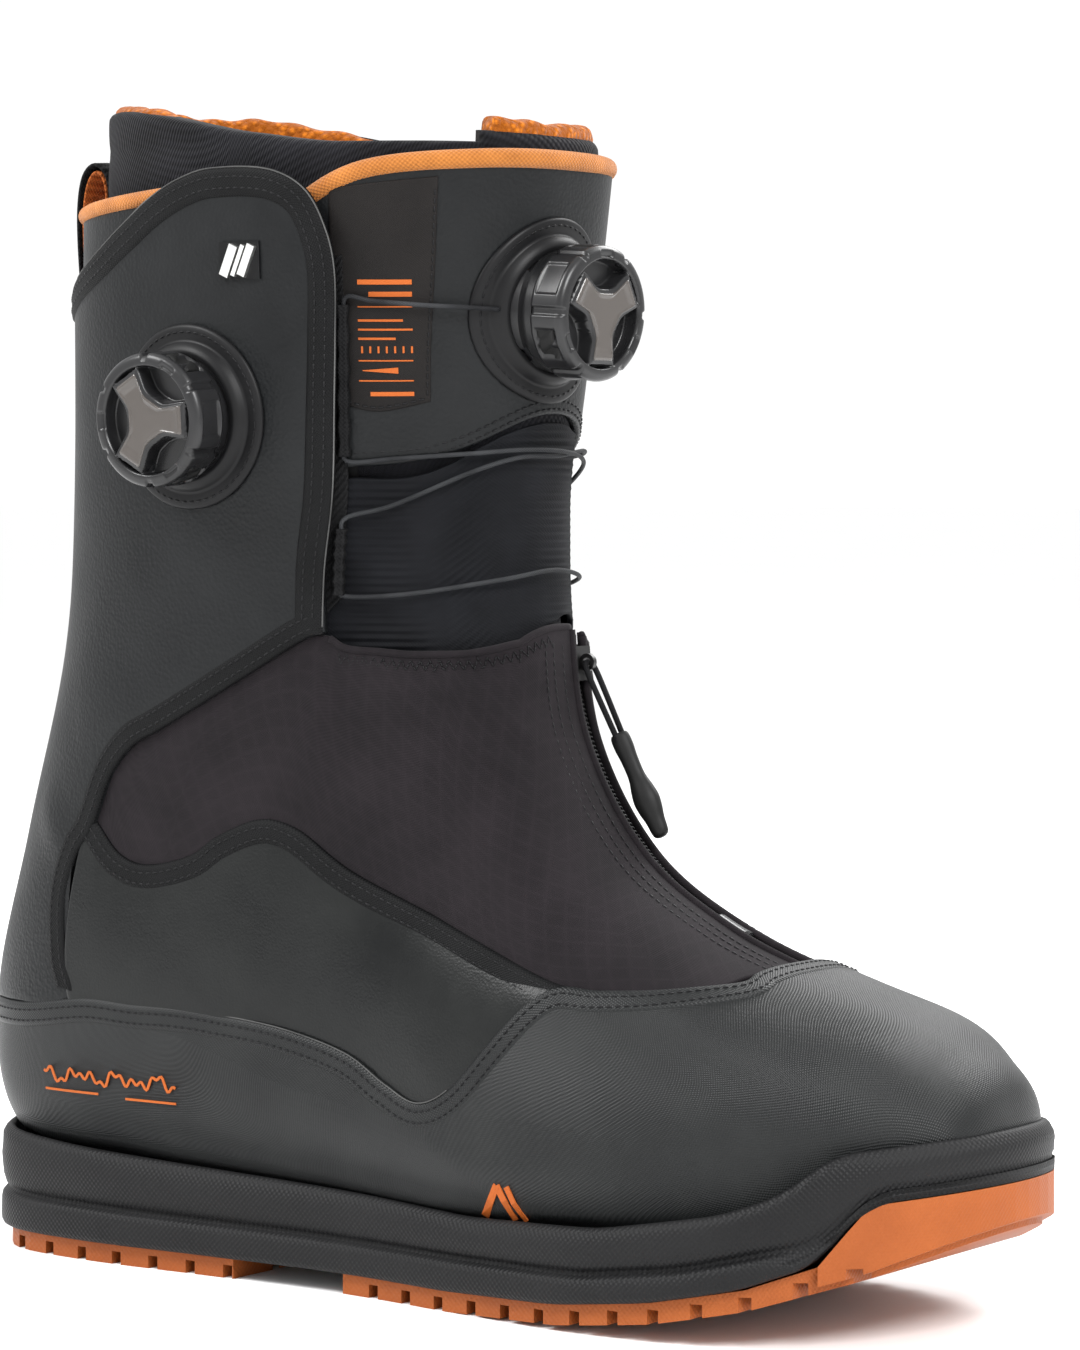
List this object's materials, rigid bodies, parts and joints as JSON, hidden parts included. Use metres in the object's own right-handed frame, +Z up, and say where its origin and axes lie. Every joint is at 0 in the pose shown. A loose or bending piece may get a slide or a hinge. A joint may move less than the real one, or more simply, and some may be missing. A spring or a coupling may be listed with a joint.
{
  "type": "snowboard boot",
  "caption": "Right-foot lace-dial snowboard boot: rubber sole, wrapped toe panel, zipped stretch cover, leather cuff, separate tongue, removable padded liner, two dials.",
  "frame": {"origin": "on the ground, at the middle of the heel tread", "axes": "+X to the toe, +Y to the inner (medial) side, +Z up"},
  "size_m": [0.3212, 0.1324, 0.3217],
  "materials": {
    "orange_rubber": "moulded gum-orange rubber",
    "black_foam_rubber": "matte moulded foam rubber with a fine hatch",
    "steel": "plain",
    "board": "pressed fibre board",
    "coated_weave": "fine ribbed weave with a thin coating",
    "smooth_leather": "smooth, slightly glossy",
    "grained_leather": "fine grain, soft sheen",
    "softshell": "stretch ripstop",
    "lining_cloth": "plain",
    "harness_web": "woven",
    "lace_cord": "braided, grey flecked",
    "liner_mesh": "knitted mesh over foam",
    "orange_fleece": "looped fleece",
    "footbed_foam": "cloth on foam",
    "ribbed_elastic": "horizontal ribs",
    "orange_knit": "knitted binding",
    "label": "coated patch",
    "pale_metal": "satin",
    "black_webbing": "woven webbing",
    "zip_cloth": "woven tape",
    "zip_nylon": "coil",
    "zip_gloss": "moulded",
    "black_metal": "satin black",
    "pull_cord": "braided",
    "grip_rubber": "soft moulded rubber",
    "flange_rubber": "soft moulded flange",
    "black_plastic": "fine satin",
    "smoky_clear": "smoky clear moulding"
  },
  "bodies": {
    "boot": {"outsole_heel": "orange_rubber", "outsole_forefoot": "orange_rubber", "midsole": "black_foam_rubber", "shank": "steel", "lasting_board": "board", "vamp": "coated_weave", "quarter_lateral": "smooth_leather", "quarter_medial": "smooth_leather", "lace_cover_lateral": "softshell", "lace_cover_medial": "softshell", "cuff_lateral": "grained_leather", "cuff_medial": "grained_leather", "backstay": "grained_leather", "toe_puff": "board", "heel_counter": "board", "shell_lining": "lining_cloth", "ankle_harness": "harness_web", "harness_lace": "lace_cord", "liner_boot": "liner_mesh", "liner_tongue": "liner_mesh", "liner_collar_rear": "orange_fleece", "liner_collar_tongue": "orange_fleece", "footbed": "footbed_foam", "tongue_shell": "grained_leather", "tongue_gusset": "ribbed_elastic", "tongue_binding": "orange_knit", "tongue_label": "label", "collar_binding": "orange_knit", "badge": "pale_metal", "rear_pull_loop": "black_webbing", "cuff_lace": "lace_cord", "lace_guides_lateral": "black_webbing", "lace_guides_medial": "black_webbing", "zip_tape": "zip_cloth", "zip_chain": "zip_nylon", "zip_garage": "zip_gloss", "front_flange": "flange_rubber", "front_housing": "black_plastic", "front_spring": "steel", "front_screw": "steel", "side_flange": "flange_rubber", "side_housing": "black_plastic", "side_spring": "steel", "side_screw": "steel"},
    "front_rotor": {"front_drive": "black_plastic"},
    "front_knob_group": {"front_knob": "black_plastic", "front_grips": "grip_rubber", "front_cap": "smoky_clear"},
    "front_spool_group": {"front_spool": "black_plastic"},
    "side_rotor": {"side_drive": "black_plastic"},
    "side_knob_group": {"side_knob": "black_plastic", "side_grips": "grip_rubber", "side_cap": "smoky_clear"},
    "side_spool_group": {"side_spool": "black_plastic"},
    "zip_slider_group": {"zip_slider": "black_metal"},
    "zip_pull_group": {"zip_pull_cord": "pull_cord", "zip_pull_grip": "grip_rubber"}
  },
  "joints": [
    {"name": "front_dial_turn", "type": "hinge", "parent": "boot", "child": "front_rotor", "pos_m": [0.1146, -0.005, 0.262], "axis": [0.9921, -0.1043, -0.0698], "continuous": true},
    {"name": "front_dial_pull", "type": "slide", "parent": "front_rotor", "child": "front_knob_group", "axis": [0.9921, -0.1043, -0.0698], "range_m": [0, 0.0025]},
    {"name": "front_spool_turn", "type": "hinge", "parent": "boot", "child": "front_spool_group", "pos_m": [0.1146, -0.005, 0.262], "axis": [0.9921, -0.1043, -0.0698], "continuous": true},
    {"name": "side_dial_turn", "type": "hinge", "parent": "boot", "child": "side_rotor", "pos_m": [0.03, -0.0532, 0.234], "axis": [0, -0.9976, -0.0698], "continuous": true},
    {"name": "side_dial_pull", "type": "slide", "parent": "side_rotor", "child": "side_knob_group", "axis": [0, -0.9976, -0.0698], "range_m": [0, 0.0025]},
    {"name": "side_spool_turn", "type": "hinge", "parent": "boot", "child": "side_spool_group", "pos_m": [0.03, -0.0532, 0.234], "axis": [0, -0.9976, -0.0698], "continuous": true},
    {"name": "zip_slide", "type": "hinge", "parent": "boot", "child": "zip_slider_group", "pos_m": [0.203, 0.01, 0.18], "axis": [0, -1, 0], "range_deg": [0, 48]},
    {"name": "zip_pull_swing", "type": "hinge", "parent": "zip_slider_group", "child": "zip_pull_group", "pos_m": [0.11685, 0.0094, 0.16789], "axis": [0, -1, 0], "range_deg": [0, 110]}
  ],
  "couplings": [
    {"joint": "front_spool_turn", "follows": "front_dial_turn", "ratio": 1},
    {"joint": "side_spool_turn", "follows": "side_dial_turn", "ratio": 1}
  ]
}
